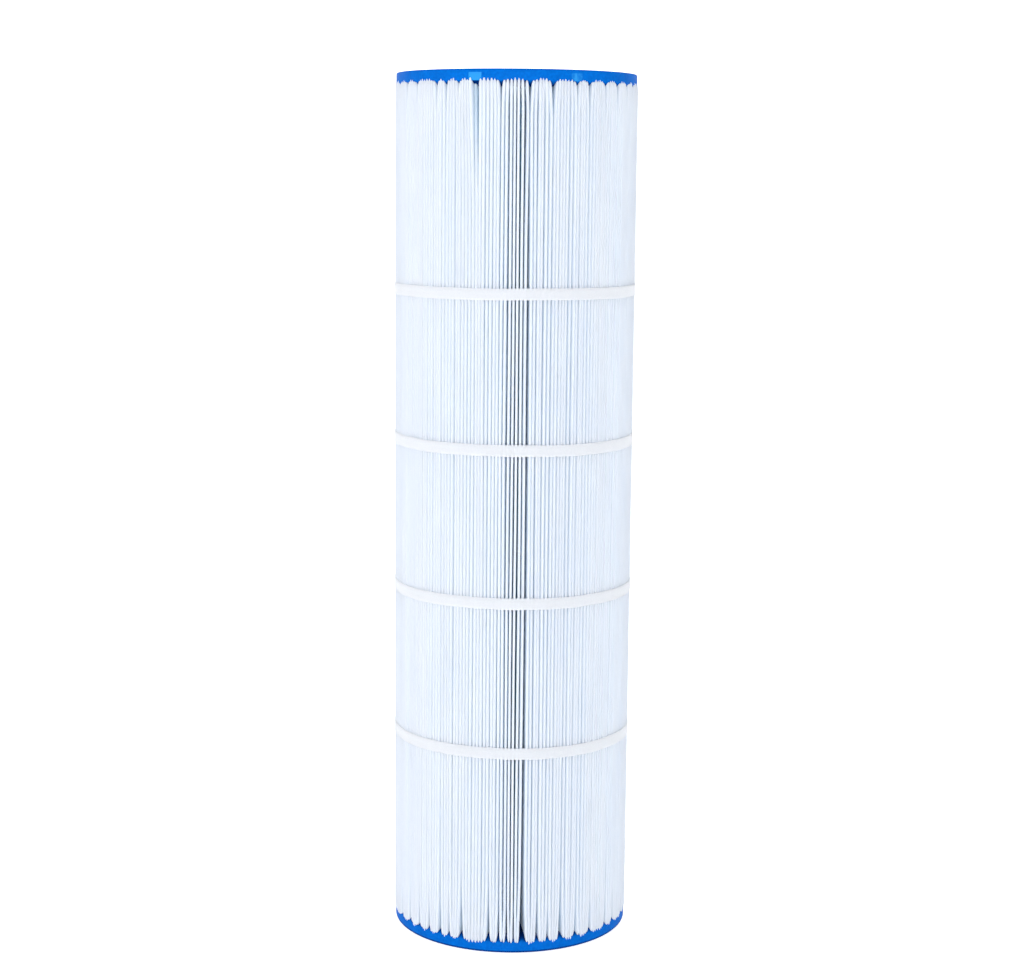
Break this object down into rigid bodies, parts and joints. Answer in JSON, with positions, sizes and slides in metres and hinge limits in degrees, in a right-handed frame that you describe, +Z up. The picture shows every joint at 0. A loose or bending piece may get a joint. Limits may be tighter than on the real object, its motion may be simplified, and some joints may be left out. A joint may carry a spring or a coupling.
{
  "type": "pleated filter cartridge",
  "caption": "Tall cylindrical pleated water filter cartridge with blue open end caps, a hollow lattice core and white bands around the pleats.",
  "frame": {"origin": "centre of the lower end cap's outer face, on the cartridge's axis", "axes": "+Z up along the cartridge's axis; the seam of the filter sheet and the laps of the bands are at the back, on +Y"},
  "size_m": [0.1778, 0.1783, 0.641],
  "materials": {
    "cap_urethane": "satin",
    "filter_media": "matte",
    "band_strap": "matte",
    "core_plastic": "satin",
    "hot_melt": "satin"
  },
  "bodies": {
    "root": {"end_cap_bottom": "cap_urethane", "end_cap_top": "cap_urethane", "pleated_media": "filter_media", "media_seam_bead": "hot_melt", "core_section_1": "core_plastic", "core_section_2": "core_plastic", "core_section_3": "core_plastic", "core_section_4": "core_plastic", "core_section_5": "core_plastic", "band_1": "band_strap", "band_2": "band_strap", "band_3": "band_strap", "band_4": "band_strap", "band_adhesive_1": "hot_melt", "band_adhesive_2": "hot_melt", "band_adhesive_3": "hot_melt", "band_adhesive_4": "hot_melt"}
  },
  "joints": []
}
